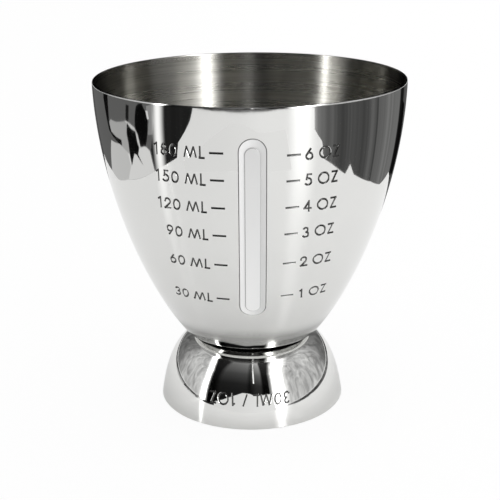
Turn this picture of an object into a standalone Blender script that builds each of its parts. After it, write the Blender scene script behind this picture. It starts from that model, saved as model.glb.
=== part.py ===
"""Double-ended jigger: a bell-shaped measuring cup with a sight window, welded floor to floor to a small foot cup.

Sizes are in metres. +Z is up, the rim of the foot cup stands on Z = 0, and the window faces -Y.
"""

import math

import bmesh
import bpy
from mathutils import Matrix, Vector
from mathutils.geometry import interpolate_bezier

# Drawn sheet
SHEET = 0.0007
TURN_STEPS = 60
CUP_CURVE_STEPS = 17
FOOT_CURVE_STEPS = 12
BEND_STEPS = 3
RIM_STEPS = 6

# Measuring cup, outside sizes
RIM_RADIUS = 0.0405
RIM_HEIGHT = 0.0886
RIM_LEAN = math.radians(0.9)
RIM_PULL = 0.0276
WALL_START_ANGLE = math.radians(51.6)
WALL_START_PULL = 0.0159
CUP_FLOOR_RADIUS = 0.0173
CUP_FLOOR_INSIDE_BEND = 0.0010

# Foot cup, upside down under the measuring cup, outside sizes
FOOT_RADIUS = 0.0252
FOOT_HEIGHT = 0.0193
FOOT_LEAN = math.radians(7.7)
FOOT_PULL = 0.0151
FOOT_TOP_RADIUS = 0.0113
SHOULDER_PULL = 0.0061

# Spot welds between the two cup floors
WELD_COUNT = 4
WELD_CIRCLE_RADIUS = 0.0070
WELD_RADIUS = 0.0022
WELD_HEIGHT = 0.0003
WELD_EDGE = 0.00008
WELD_GAP = 0.0001
WELD_STEPS = 20

# Sight window: a plug through a slot in the wall, with a flange and a seal inside
WINDOW_BELOW_RIM = 0.0069
WINDOW_ABOVE_FLOOR = 0.0148
WINDOW_WIDTH = 0.0064
WINDOW_BORDER = 0.0013
WINDOW_END_BORDER = 0.0019
WINDOW_STEP = 0.0002
WINDOW_EDGE_PROUD = 0.00012
WINDOW_BORDER_PROUD = 0.00016
WINDOW_PANE_PROUD = 0.0005
SLOT_CLEARANCE = 0.00015
FLANGE_LAP = 0.0018
FLANGE_THICKNESS = 0.0009
SEAL_THICKNESS = 0.0004
SEAL_GAP = 0.0002
SEAL_SETBACK = 0.00025
CUTTER_REACH = 0.0030
END_STEPS = 10
SIDE_STEPS = 16

CUP_FLOOR_HEIGHT = FOOT_HEIGHT + WELD_HEIGHT + 2 * WELD_GAP
WALL_INSIDE = -SHEET
SEAL_OUTER_FACE = WALL_INSIDE - SEAL_GAP
SEAL_INNER_FACE = SEAL_OUTER_FACE - SEAL_THICKNESS
FLANGE_OUTER_FACE = SEAL_INNER_FACE - SEAL_GAP
FLANGE_INNER_FACE = FLANGE_OUTER_FACE - FLANGE_THICKNESS


def clear_scene():
    for old in list(bpy.data.objects):
        bpy.data.objects.remove(old, do_unlink=True)


def finish(name, colour, metallic, roughness, transmission=0.0):
    material = bpy.data.materials.new(name)
    material.use_nodes = True
    shader = material.node_tree.nodes["Principled BSDF"]
    shader.inputs["Base Color"].default_value = (*colour, 1.0)
    shader.inputs["Metallic"].default_value = metallic
    shader.inputs["Roughness"].default_value = roughness
    shader.inputs["Transmission Weight"].default_value = transmission
    return material


def add_object(name, mesh, material, parent):
    piece = bpy.data.objects.new(name, mesh)
    bpy.context.scene.collection.objects.link(piece)
    piece.parent = parent
    if material:
        mesh.materials.append(material)
    return piece


# Profiles are (radius, 0, height) points of a half section through the Z axis.


def arc(centre, radius, start, end, steps):
    """Points of an arc, with angles counted from straight down towards +X."""
    points = []
    for step in range(steps + 1):
        angle = start + (end - start) * step / steps
        points.append(centre + radius * Vector((math.sin(angle), 0.0, -math.cos(angle))))
    return points


def set_in(points, distance):
    """The points moved to their left by a distance, at right angles to the line through them."""
    moved = []
    last = len(points) - 1
    for index, point in enumerate(points):
        along = (points[min(index + 1, last)] - points[max(index - 1, 0)]).normalized()
        moved.append(point + distance * Vector((-along.z, 0.0, along.x)))
    return moved


def cup_wall():
    """Outside of the measuring cup's wall, from the floor bend up to the rim."""
    bend = CUP_FLOOR_INSIDE_BEND + SHEET
    start = Vector((
        CUP_FLOOR_RADIUS + bend * math.sin(WALL_START_ANGLE),
        0.0,
        CUP_FLOOR_HEIGHT + bend * (1.0 - math.cos(WALL_START_ANGLE)),
    ))
    rise = Vector((math.cos(WALL_START_ANGLE), 0.0, math.sin(WALL_START_ANGLE)))
    rim = Vector((RIM_RADIUS, 0.0, RIM_HEIGHT - SHEET / 2))
    upright = Vector((math.sin(RIM_LEAN), 0.0, math.cos(RIM_LEAN)))
    handles = start + WALL_START_PULL * rise, rim - RIM_PULL * upright
    return interpolate_bezier(start, *handles, rim, CUP_CURVE_STEPS + 1)


def cup_profile():
    """Closed section of the measuring cup: up the inside, over the round rim and down the outside."""
    outside = cup_wall()
    inside = set_in(outside, SHEET)
    bend_centre = Vector((CUP_FLOOR_RADIUS, 0.0, CUP_FLOOR_HEIGHT + CUP_FLOOR_INSIDE_BEND + SHEET))
    inner_bend = arc(bend_centre, CUP_FLOOR_INSIDE_BEND, 0.0, WALL_START_ANGLE, BEND_STEPS)
    outer_bend = arc(bend_centre, CUP_FLOOR_INSIDE_BEND + SHEET, WALL_START_ANGLE, 0.0, BEND_STEPS)
    rim_centre = (outside[-1] + inside[-1]) / 2
    rim_round = arc(rim_centre, SHEET / 2, 1.5 * math.pi, 0.5 * math.pi, RIM_STEPS)
    floor_inside = Vector((0.0, 0.0, CUP_FLOOR_HEIGHT + SHEET))
    floor_outside = Vector((0.0, 0.0, CUP_FLOOR_HEIGHT))
    up = [floor_inside] + inner_bend + inside[1:-1]
    down = outside[-2:0:-1] + outer_bend + [floor_outside]
    return up + rim_round + down


def foot_profile():
    """Closed section of the foot cup: from its floor down the outside, across the flat rim and up the inside."""
    rim = Vector((FOOT_RADIUS, 0.0, 0.0))
    rise = Vector((-math.sin(FOOT_LEAN), 0.0, math.cos(FOOT_LEAN)))
    shoulder = Vector((FOOT_TOP_RADIUS, 0.0, FOOT_HEIGHT))
    handles = rim + FOOT_PULL * rise, shoulder + Vector((SHOULDER_PULL, 0.0, 0.0))
    outside = interpolate_bezier(rim, *handles, shoulder, FOOT_CURVE_STEPS + 1)
    inside = set_in(outside, SHEET)
    inside[0] = Vector((FOOT_RADIUS - SHEET / math.cos(FOOT_LEAN), 0.0, 0.0))
    inside[-1] = Vector((FOOT_TOP_RADIUS, 0.0, FOOT_HEIGHT - SHEET))
    floor_outside = Vector((0.0, 0.0, FOOT_HEIGHT))
    floor_inside = Vector((0.0, 0.0, FOOT_HEIGHT - SHEET))
    return [floor_outside] + outside[::-1] + inside + [floor_inside]


def turned(name, profile, material, parent):
    """A solid of revolution about Z: the section as a line of edges, turned by a Screw modifier."""
    mesh = bpy.data.meshes.new(name)
    edges = [(index, index + 1) for index in range(len(profile) - 1)]
    mesh.from_pydata(profile, edges, [])
    piece = add_object(name, mesh, material, parent)
    turn = piece.modifiers.new("turn", "SCREW")
    turn.axis = "Z"
    turn.steps = TURN_STEPS
    turn.render_steps = TURN_STEPS
    turn.use_smooth_shade = True
    turn.use_merge_vertices = True
    turn.merge_threshold = 0.00001
    return piece


# The window, its seal and its slot are drawn flat, as (across, along) points, and wrapped on the cup's wall.


class Wall:
    """The outside of the measuring cup's wall, measured along its slope from the floor bend."""

    def __init__(self):
        self.points = cup_wall()
        self.lengths = [0.0]
        for low, high in zip(self.points, self.points[1:]):
            self.lengths.append(self.lengths[-1] + (high - low).length)
        self.outward = [normal - point for normal, point in zip(set_in(self.points, -1.0), self.points)]

    def place(self, across, along, lift):
        """The place on the wall's -Y side, lifted outwards from its outer face."""
        index = 0
        while index < len(self.points) - 2 and self.lengths[index + 1] < along:
            index += 1
        share = (along - self.lengths[index]) / (self.lengths[index + 1] - self.lengths[index])
        point = self.points[index].lerp(self.points[index + 1], share)
        outward = self.outward[index].lerp(self.outward[index + 1], share).normalized()
        lifted = point + lift * outward
        return Matrix.Rotation(across / point.x - math.pi / 2, 3, "Z") @ lifted


def long_round(wall, grow, shorten):
    """Outline of the window, grown all round and shortened at its ends: anticlockwise from the right."""
    radius = WINDOW_WIDTH / 2
    low = WINDOW_ABOVE_FLOOR + radius + shorten
    high = wall.lengths[-1] - WINDOW_BELOW_RIM - radius - shorten
    outline = []
    for step in range(SIDE_STEPS):
        outline.append((radius + grow, low + (high - low) * step / SIDE_STEPS))
    for step in range(END_STEPS):
        angle = math.pi * step / END_STEPS
        outline.append(((radius + grow) * math.cos(angle), high + (radius + grow) * math.sin(angle)))
    for step in range(SIDE_STEPS):
        outline.append((-radius - grow, high + (low - high) * step / SIDE_STEPS))
    for step in range(END_STEPS):
        angle = math.pi * (1.0 + step / END_STEPS)
        outline.append(((radius + grow) * math.cos(angle), low + (radius + grow) * math.sin(angle)))
    return outline


def wrapped(wall, name, sections, material, parent, closed_ring=False):
    """A solid from a row of (grow, lift, shorten) sections of the window outline, bridged in order."""
    body = bmesh.new()
    loops = []
    for grow, lift, shorten in sections:
        outline = long_round(wall, grow, shorten)
        loops.append([body.verts.new(wall.place(across, along, lift)) for across, along in outline])
    count = len(loops[0])
    pairs = list(zip(loops, loops[1:]))
    if closed_ring:
        pairs.append((loops[-1], loops[0]))
    for inner, outer in pairs:
        for index in range(count):
            after = (index + 1) % count
            body.faces.new((inner[index], inner[after], outer[after], outer[index]))
    if not closed_ring:
        close_across(body, loops[0])
        close_across(body, loops[-1])
    bmesh.ops.recalc_face_normals(body, faces=body.faces)
    mesh = bpy.data.meshes.new(name)
    body.to_mesh(mesh)
    body.free()
    mesh.shade_smooth()
    mesh.set_sharp_from_angle(angle=math.radians(30.0))
    return add_object(name, mesh, material, parent)


def close_across(body, loop):
    """Closes an outline with rungs from its right side to its left, so that the face follows the wall's slope."""
    right_low = SIDE_STEPS + END_STEPS // 2
    right = [loop[(right_low - step) % len(loop)] for step in range(len(loop) // 2 + 1)]
    left = [loop[(right_low + step) % len(loop)] for step in range(len(loop) // 2 + 1)]
    for step in range(len(right) - 1):
        corners = (right[step], right[step + 1], left[step + 1], left[step])
        body.faces.new(tuple(dict.fromkeys(corners)))


def cut_slot(cup, wall, parent):
    """The slot that the window plugs, cut through the measuring cup's wall."""
    sections = (
        (SLOT_CLEARANCE, WALL_INSIDE - CUTTER_REACH, 0.0),
        (SLOT_CLEARANCE, CUTTER_REACH, 0.0),
    )
    cutter = wrapped(wall, "window_slot_cutter", sections, None, parent)
    cutter.hide_render = True
    cutter.display_type = "WIRE"
    slot = cup.modifiers.new("window_slot", "BOOLEAN")
    slot.operation = "DIFFERENCE"
    slot.solver = "EXACT"
    slot.object = cutter


def sight_window(wall, material, parent):
    """Moulded plug: flange inside the cup, body in the slot, border and raised pane outside."""
    pane_shorten = WINDOW_END_BORDER - WINDOW_BORDER
    sections = (
        (FLANGE_LAP, FLANGE_INNER_FACE, 0.0),
        (FLANGE_LAP, FLANGE_OUTER_FACE, 0.0),
        (0.0, FLANGE_OUTER_FACE, 0.0),
        (0.0, WINDOW_EDGE_PROUD, 0.0),
        (-WINDOW_BORDER, WINDOW_BORDER_PROUD, pane_shorten),
        (-WINDOW_BORDER - WINDOW_STEP, WINDOW_PANE_PROUD, pane_shorten),
    )
    return wrapped(wall, "sight_window", sections, material, parent)


def window_seal(wall, material, parent):
    """Flat ring round the window's body, between its flange and the inside of the wall."""
    inner = SLOT_CLEARANCE + SEAL_SETBACK
    outer = FLANGE_LAP - SEAL_SETBACK
    sections = (
        (inner, SEAL_OUTER_FACE, 0.0),
        (outer, SEAL_OUTER_FACE, 0.0),
        (outer, SEAL_INNER_FACE, 0.0),
        (inner, SEAL_INNER_FACE, 0.0),
    )
    return wrapped(wall, "window_seal", sections, material, parent, closed_ring=True)


def spot_welds(material, parent):
    """Flat nuggets in a ring between the floor of the foot cup and the floor of the measuring cup."""
    body = bmesh.new()
    bmesh.ops.create_cone(
        body, cap_ends=True, segments=WELD_STEPS, radius1=WELD_RADIUS, radius2=WELD_RADIUS, depth=WELD_HEIGHT
    )
    rims = [edge for edge in body.edges if edge.calc_face_angle() > math.radians(60.0)]
    bmesh.ops.bevel(body, geom=rims, offset=WELD_EDGE, segments=1, profile=0.5, affect="EDGES")
    mesh = bpy.data.meshes.new("spot_weld")
    body.to_mesh(mesh)
    body.free()
    mesh.materials.append(material)
    mesh.shade_smooth()
    mesh.set_sharp_from_angle(angle=math.radians(30.0))
    for index in range(WELD_COUNT):
        turn = 2 * math.pi * (index + 0.5) / WELD_COUNT
        nugget = add_object(f"spot_weld_{index + 1}", mesh, None, parent)
        nugget.location = (
            WELD_CIRCLE_RADIUS * math.cos(turn),
            WELD_CIRCLE_RADIUS * math.sin(turn),
            FOOT_HEIGHT + WELD_GAP + WELD_HEIGHT / 2,
        )


def main():
    clear_scene()
    polished_steel = finish("polished_steel", (0.78, 0.77, 0.74), metallic=1.0, roughness=0.06)
    weld_steel = finish("weld_steel", (0.55, 0.54, 0.52), metallic=1.0, roughness=0.45)
    window_plastic = finish("window_plastic", (0.86, 0.88, 0.88), metallic=0.0, roughness=0.2, transmission=0.6)
    clear_silicone = finish("clear_silicone", (0.80, 0.80, 0.78), metallic=0.0, roughness=0.5, transmission=0.3)

    jigger = bpy.data.objects.new("jigger", None)
    bpy.context.scene.collection.objects.link(jigger)

    wall = Wall()
    turned("foot_cup", foot_profile(), polished_steel, jigger)
    cup = turned("measuring_cup", cup_profile(), polished_steel, jigger)
    cut_slot(cup, wall, jigger)
    sight_window(wall, window_plastic, jigger)
    window_seal(wall, clear_silicone, jigger)
    spot_welds(weld_steel, jigger)


main()
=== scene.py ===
"""Looks of the double-ended jigger: its polished cups, etched volume marks, moulded sight window and studio.

Sizes are in metres, angles in degrees. Azimuths count from the window side (-Y) towards +X.
"""

import math

import bmesh
import bpy
from mathutils import Matrix, Vector
from mathutils.geometry import interpolate_bezier


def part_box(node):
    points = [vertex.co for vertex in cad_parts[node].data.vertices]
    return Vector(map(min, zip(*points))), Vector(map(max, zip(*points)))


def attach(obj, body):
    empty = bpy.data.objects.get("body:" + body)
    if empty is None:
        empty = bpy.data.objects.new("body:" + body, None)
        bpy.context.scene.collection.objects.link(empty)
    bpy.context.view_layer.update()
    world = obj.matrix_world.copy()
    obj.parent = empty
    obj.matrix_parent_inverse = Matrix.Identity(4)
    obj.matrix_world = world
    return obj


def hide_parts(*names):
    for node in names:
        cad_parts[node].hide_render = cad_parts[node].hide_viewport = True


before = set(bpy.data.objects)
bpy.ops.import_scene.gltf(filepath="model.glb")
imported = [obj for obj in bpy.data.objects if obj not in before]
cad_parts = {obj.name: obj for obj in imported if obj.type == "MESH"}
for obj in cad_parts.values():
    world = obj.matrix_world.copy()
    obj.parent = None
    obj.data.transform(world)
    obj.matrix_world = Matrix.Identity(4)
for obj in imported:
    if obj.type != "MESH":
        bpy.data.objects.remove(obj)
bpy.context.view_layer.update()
cup_low, cup_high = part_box("measuring_cup")
foot_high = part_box("foot_cup")[1]

ROOT = "root"
AXIS = Vector((0.0, 0.0, 1.0))
ORIGIN = Vector((0.0, 0.0, 0.0))
WHITE = (1.0, 1.0, 1.0, 1.0)

# Drawn sheet, as in the solids
SHEET = 0.0007

# Fineness and tolerances of the meshes
TURN_STEPS = 256
CUP_CURVE_STEPS = 72
FOOT_CURVE_STEPS = 40
BEND_STEPS = 8
RIM_STEPS = 12
MERGE_DISTANCE = 0.000002
SLICE_SNAP = 0.000001
WALL_TOLERANCE = 0.000015
WALL_FACING = 0.9
SHELL_SHARP_ANGLE = 28.0
WINDOW_SHARP_ANGLE = 40.0

# Material indices: of the cups' shells, of the window and of what cuts the slot and the grooves
INSIDE_FINISH = 1
SEAM_FINISH = 2
PANE_FINISH = 0
BORDER_FINISH = 1
EDGE_FINISH = 2
SLOT_FINISH = 0
GROOVE_FINISH = 0
FLANK_FINISH = 1

# Measuring cup, outside sizes
RIM_RADIUS = cup_high.x
RIM_HEIGHT = cup_high.z
RIM_LEAN = 0.9
RIM_PULL = 0.0276
WALL_START_ANGLE = 51.6
WALL_START_PULL = 0.0159
CUP_FLOOR_RADIUS = 0.0173
CUP_FLOOR_INSIDE_BEND = 0.0010
CUP_FLOOR_HEIGHT = cup_low.z

# Foot cup, outside sizes
FOOT_RADIUS = foot_high.x
FOOT_HEIGHT = foot_high.z
FOOT_LEAN = 7.7
FOOT_PULL = 0.0151
FOOT_TOP_RADIUS = 0.0113
SHOULDER_PULL = 0.0061
FOOT_EDGE_ROUND = 0.00018

# Faces that count as inside: the floor's lap over its bend, the least turn inwards and the rim left out
CUP_FLOOR_LAP = 0.0001
CUP_INWARD_SHARE = 0.2
FOOT_INWARD_SHARE = 0.05
FOOT_RIM_BAND = 0.0001

# Seam between the cups: where the foot takes its near-black painted shade and dull skin, and by height the
# steel's painted shade and added roughness
SEAM_SLOPE_FOOT = 0.90
SEAM_PAINTED_SHADE = (0.0203, 1.0), (0.0206, 0.55), (0.0242, 0.57), (0.0250, 0.76), (0.0262, 0.93), (0.0275, 1.0)
SEAM_HAZE = (0.0216, 0.0), (0.0226, 0.16), (0.0270, 0.16), (0.0330, 0.0)

# Sight window, its flange inside the wall and the slot that it plugs
WINDOW_BELOW_RIM = 0.0069
WINDOW_ABOVE_FLOOR = 0.0148
WINDOW_WIDTH = 0.0064
WINDOW_BORDER = 0.0013
WINDOW_END_BORDER = 0.0019
WINDOW_STEP = 0.0002
WINDOW_EDGE_PROUD = 0.00012
WINDOW_BORDER_PROUD = 0.00016
WINDOW_PANE_PROUD = 0.0005
WINDOW_EDGE_ROUND = 0.00008
WINDOW_PANE_ROUND = 0.0002
WINDOW_ROUND_STEPS = 5
WINDOW_END_STEPS = 24
WINDOW_SLICE = 0.0008
SLOT_CLEARANCE = 0.00015
SLOT_CUTTER_REACH = 0.0030
FLANGE_LAP = 0.0018
FLANGE_OUTER_FACE = -0.0015
FLANGE_INNER_FACE = -0.0024
FLANGE_EDGE_ROUND = 0.00025

# Whiteness of the window's plastic, which is painted light and shade: the pane's by height, the border's and
# the edges' from left to right
PANE_SPAN = 0.03, 0.09
PANE_PAINTED_LIGHT = (0.035, 0.88), (0.060, 0.78), (0.078, 0.70)
BORDER_SPAN = -0.004, 0.004
BORDER_PAINTED_LIGHT = (-0.0025, 0.92), (-0.001, 0.88), (0.001, 0.74), (0.0025, 0.68)
EDGE_PAINTED_SHADE = (-0.002, 0.36), (0.0, 0.45), (0.0017, 0.62), (0.0025, 0.34)

# Volume marks: etched strokes, sized by the middle of the stroke, at heights above the table
LETTER_HEIGHT = 0.00262
STROKE_WIDTH = 0.00055
STROKE_DEPTH = 0.00017
STROKE_FLOOR_SLOPE = -0.72
STROKE_LOWER_SIDE = -0.6
STROKE_ROUND_STEPS = 5
STROKE_LAYERS = 3
STROKE_REST_POINTS = 0.25, 0.5, 0.75
CLOSED_STROKE_GAP = 0.00001
SLANTED_END = 0.2
BOW_STEP = 12.0
BOW_FEWEST_STEPS = 3
LETTER_GAP = 0.00095
WORD_GAP = 0.0019
DIGIT_PITCH = 0.00235
DASH_LENGTH = 0.0028
DASH_GAP = 0.0016
DASH_INNER_END = 0.0070
DASH_INNER_END_OUNCES = 0.0083
MARK_TAPER = 0.45
MILLILITRE_MARKS = (
    ("30", 0.0380), ("60", 0.0484), ("90", 0.0567), ("120", 0.0641), ("150", 0.0712), ("180", 0.0779),
)
OUNCE_MARKS = ("1", 0.0387), ("2", 0.0486), ("3", 0.0569), ("4", 0.0640), ("5", 0.0708), ("6", 0.0772)
FOOT_MARK = "30ML / 1OZ"
FOOT_MARK_SCALE = 1.08
FOOT_MARK_NARROW = 0.89
FOOT_MARK_MIDDLE = -0.0009
FOOT_MARK_ALONG = 0.0079

# Camera
CAMERA_DISTANCE = 0.2890
CAMERA_HEIGHT = 0.1393
CAMERA_AZIMUTH = -0.7
CAMERA_PITCH = 18.735
CAMERA_ROLL = -0.437
CAMERA_LENS = 80.87
CAMERA_SHIFT = -0.0021
CAMERA_NEAREST = 0.01

# The middle range of a noise, which it seldom leaves, and the stretch that makes turning rings of one
NOISE_RANGE = 0.3, 0.7
RING_STRETCH = (1.0, 1.0, 90.0)

# White floor: painted light from left to right, painted shadow near the foot by distance, and see-through
# sheen at low angles
FLOOR_SIZE = 6.0
FLOOR_SEEN_WHITE = 0.93
FLOOR_MIRRORED_WHITE = 0.10
PAPER_SPAN = -0.3, 0.3
PAPER_PAINTED_LIGHT = (-0.20, 0.88), (-0.05, 0.92), (0.0, 0.965), (0.035, 1.0)
CONTACT_REACH = 0.1
CONTACT_SHADE = (0.024, 0.80), (0.034, 0.90), (0.048, 0.98), (0.075, 1.0)
FLOOR_SHEEN = (0.3, 0.005), (0.5, 0.01), (0.7, 0.035), (0.85, 0.12), (0.95, 0.25)

# What the steel mirrors on the floor: a table round the paper, grey by azimuth, and flat cards.
# Outlines are (x, y) in rim radii from the axis.
CARD_LIFT = 0.00005
TABLE_REACH = 20.0
TABLE_LEVELS = (
    (-180.0, 0.10), (-150.0, 0.08), (-100.0, 0.016), (-40.0, 0.016), (-15.0, 0.10), (30.0, 0.14),
    (46.0, 0.20), (56.0, 0.12), (64.5, 0.06), (67.5, 0.065), (71.0, 0.095), (87.0, 0.07), (92.0, 0.12),
    (97.0, 0.12), (98.0, 0.02), (99.5, 0.13), (115.0, 0.19), (132.0, 0.18), (135.0, 0.01), (142.0, 0.01),
    (145.0, 0.10), (180.0, 0.10),
)
TABLE_STREAKS = (0.30, 0.65), (0.70, 1.35)
PAPER_OUTLINE = (
    (-6.3, -7.8), (-3.0, -9.0), (0.0, -9.4), (3.0, -9.2), (5.6, -8.3), (6.9, -6.9), (5.15, -5.4),
    (4.58, -4.95), (4.39, -4.35), (4.24, -3.77), (3.98, -3.42), (3.7, -3.17), (3.52, -2.84), (3.61, -2.33),
    (3.65, -1.35),
    (4.15, -1.22), (3.83, -0.8), (3.8, -0.2), (3.74, 0.7), (3.5, 1.8), (3.5, 3.2), (3.2, 3.5), (1.6, 3.9),
    (-1.6, 5.2), (-3.4, 5.2), (-3.7, 3.1), (-3.9, 1.5), (-3.9, -1.3), (-3.75, -2.3), (-3.65, -2.9),
    (-4.3, -3.6), (-4.65, -4.7), (-5.15, -5.9),
)
FLOOR_CARDS = (
    ("grey_card", 0.13, (
        (-3.85, -1.35), (-4.9, -1.5), (-5.9, -2.1), (-7.2, -2.8), (-9.5, -3.5), (-19.0, -7.0), (-19.0, 12.0),
        (-8.0, 17.0), (-4.6, 8.0), (-3.3, 5.2), (-3.65, 3.0), (-3.85, 1.5),
    )),
    ("pale_card_1", 0.30, (
        (-9.5, -2.5), (-9.5, -3.4), (-7.2, -2.75), (-5.9, -2.1), (-6.0, -1.65), (-7.3, -2.2), (-8.6, -2.3),
    )),
    ("pale_card_2", 0.80, (
        (-5.6, -0.5), (-5.2, -1.2), (-4.9, -1.4), (-3.85, -1.28), (-3.85, 0.9), (-5.1, 0.8), (-5.3, 0.0),
    )),
    ("pale_card_3", 0.45, (
        (-7.0, 3.5), (-7.1, 2.5), (-7.5, 1.0), (-7.35, 0.6), (-6.3, 0.6), (-5.0, 0.5), (-5.4, 1.4),
        (-5.8, 1.5), (-5.8, 2.2), (-6.0, 3.2), (-6.6, 3.7),
    )),
    ("white_card_1", 0.62, (
        (-5.35, 3.1), (-5.5, 1.6), (-5.1, 0.7), (-4.4, 0.5), (-3.85, 0.9), (-3.6, 2.2), (-3.6, 3.2),
        (-4.7, 3.15),
    )),
    ("white_card_2", 0.70, (
        (-7.6, 1.05), (-7.05, 0.45), (-6.5, -0.2), (-5.3, -0.4), (-5.2, -0.8), (-6.3, -0.75), (-6.9, -0.3),
        (-7.4, 0.4),
    )),
    ("dark_card_1", 0.005, (
        (-8.5, 6.2), (-7.3, 5.0), (-6.4, 4.1), (-5.9, 3.55), (-5.65, 2.5), (-5.4, 1.35), (-5.8, 1.45),
        (-5.85, 2.2), (-6.0, 3.15), (-6.6, 3.7), (-7.7, 4.25), (-9.3, 5.1), (-18.0, 9.5), (-17.0, 11.5),
    )),
    ("dark_card_2", 0.004, (
        (-7.35, 0.65), (-6.8, 0.15), (-6.5, -0.4), (-5.65, -0.45), (-5.3, -0.55), (-4.9, -0.35),
        (-4.3, -0.6), (-4.9, -0.2), (-5.0, 0.0), (-4.4, 0.4), (-4.85, 0.48), (-5.65, 0.55), (-6.35, 0.72),
    )),
    ("dark_card_3", 0.004, (
        (-9.6, -0.85), (-9.95, -1.3), (-9.9, -1.9), (-8.6, -2.2), (-7.4, -2.1), (-6.35, -1.75), (-5.6, -1.4),
        (-5.25, -1.15), (-5.3, -0.68), (-6.25, -0.6), (-6.8, -0.35), (-8.2, -0.55),
    )),
    ("dark_card_4", 0.012, ((-9.8, 0.9), (-9.7, 0.35), (-7.5, 0.4), (-7.6, 0.85))),
    ("white_card_3", 0.80, ((-8.8, -2.2), (-8.75, -2.48), (-7.55, -2.31), (-7.5, -2.1))),
    ("dark_card_5", 0.004, (
        (2.6, 4.5), (3.35, 3.55), (4.35, 4.75), (5.3, 5.8), (6.3, 7.6), (5.0, 8.2), (3.4, 6.4),
    )),
)

# Lamp light along the floor, as (name, azimuth, half width, level)
FLOOR_BEAMS = ("left_beam", -65.7, 6.0, 1.25), ("right_beam", 34.5, 12.0, 1.4)
BEAM_ENDS = 0.7, TABLE_REACH
BEAM_CORE = 0.05
BEAM_LIFT = 0.0008
BEAM_START = 0.04
BEAM_FULL = 0.20
BEAM_NEAR_SHARE = 0.08

# The tent's opening with the dim room in it, and the softboxes beside it, as (azimuth, elevation) edges
STUDIO_REACH = 0.60
OPENING_LEFT = (-61.0, 0.0), (-61.0, 20.0), (-63.0, 35.0), (-70.0, 47.0), (-82.0, 56.0), (-100.0, 64.0)
OPENING_RIGHT = (25.0, 0.0), (25.0, 20.0), (26.0, 40.0), (32.0, 55.0), (46.0, 66.0), (75.0, 74.0)
ROOM_SPAN = -90.0, 60.0
ROOM_ACROSS = (
    (-66.0, 0.005), (-52.0, 0.008), (-44.0, 0.075), (-9.0, 0.10), (-4.0, 0.03), (5.0, 0.16), (11.0, 0.18),
    (14.0, 0.01),
)
ROOM_UPWARD = (0.0, 0.05), (0.20, 0.2), (0.32, 0.8), (0.44, 2.2), (0.56, 4.5)
LEFT_SOFTBOX_OUTER = (-70.0, 0.0), (-70.0, 20.0), (-74.0, 34.0), (-84.0, 45.0), (-97.0, 53.0), (-114.0, 60.0)
RIGHT_SOFTBOX_OUTER = (46.0, 0.0), (46.0, 20.0), (50.0, 35.0), (66.0, 48.0), (84.0, 55.0), (110.0, 62.0)
SOFTBOXES = (
    ("left_softbox", OPENING_LEFT, LEFT_SOFTBOX_OUTER, 2.5),
    ("right_softbox", OPENING_RIGHT, RIGHT_SOFTBOX_OUTER, -4.0),
)
SOFTBOX_DISTANCE = 0.576
SOFTBOX_LEVEL = 14.0
SOFTBOX_EDGE = 0.30
SOFTBOX_FAR_LAP = 0.7
LAMP_FADE = 0.6

# Small lights and cards round the jigger
THIN_LIGHT_DISTANCE = 0.38
THIN_LIGHT_SIDES = -0.8, 3.4
THIN_LIGHT_ELEVATIONS = 27.0, 64.0
THIN_LIGHT_LEVEL = 3.0
THIN_LIGHT_EDGE = 0.4
DARK_FLAGS = ("right_flag", 103.0, 166.0), ("left_flag", -103.0, -166.0)
FLAG_DISTANCE = 0.080
FLAG_LOW = 0.091
FLAG_HEIGHT = 0.14
FLAG_LEVEL = 0.003
FLAG_STEPS = 4
LOW_CARD_DISTANCE = 0.162
LOW_CARD_LEVEL = 0.975
LOW_CARD_TOP = (
    (-46.0, 0.010), (-36.0, 0.020), (-24.0, 0.034), (-12.0, 0.047), (-4.0, 0.045), (4.0, 0.038),
    (21.0, 0.040), (27.0, 0.001),
)

# Pale folded cloth of the tent: its folds, and its levels at the top, below the floor and behind the jigger
FOLD_STRETCH = (1.3, 1.3, 0.6)
FOLD_LEVELS = (0.30, 0.34), (0.48, 0.58), (0.68, 0.88)
TENT_TOP = (0.80, 1.0), (0.90, 0.06)
TENT_BELOW = (-0.001, 1.0), (0.0, 0.0)
TENT_BEHIND = (0.28, 1.0), (0.55, 0.4), (0.8, 0.25)


# Half sections through the Z axis, as (radius, 0, height) points


def arc(centre, radius, start, end, steps):
    """Points of an arc, with angles counted from straight down towards +X."""
    points = []
    for step in range(steps + 1):
        angle = math.radians(start + (end - start) * step / steps)
        points.append(centre + radius * Vector((math.sin(angle), 0.0, -math.cos(angle))))
    return points


def set_in(points, distance):
    """The points moved to their left by a distance, at right angles to the line through them."""
    moved = []
    last = len(points) - 1
    for index, point in enumerate(points):
        along = (points[min(index + 1, last)] - points[max(index - 1, 0)]).normalized()
        moved.append(point + distance * Vector((-along.z, 0.0, along.x)))
    return moved


def cup_wall():
    """Outside of the measuring cup's wall, from the floor bend up to the rim."""
    slope = math.radians(WALL_START_ANGLE)
    lean = math.radians(RIM_LEAN)
    bend = CUP_FLOOR_INSIDE_BEND + SHEET
    start_radius = CUP_FLOOR_RADIUS + bend * math.sin(slope)
    start_height = CUP_FLOOR_HEIGHT + bend * (1.0 - math.cos(slope))
    start = Vector((start_radius, 0.0, start_height))
    rise = Vector((math.cos(slope), 0.0, math.sin(slope)))
    rim = Vector((RIM_RADIUS, 0.0, RIM_HEIGHT - SHEET / 2))
    upright = Vector((math.sin(lean), 0.0, math.cos(lean)))
    handles = start + WALL_START_PULL * rise, rim - RIM_PULL * upright
    return interpolate_bezier(start, *handles, rim, CUP_CURVE_STEPS + 1)


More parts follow.
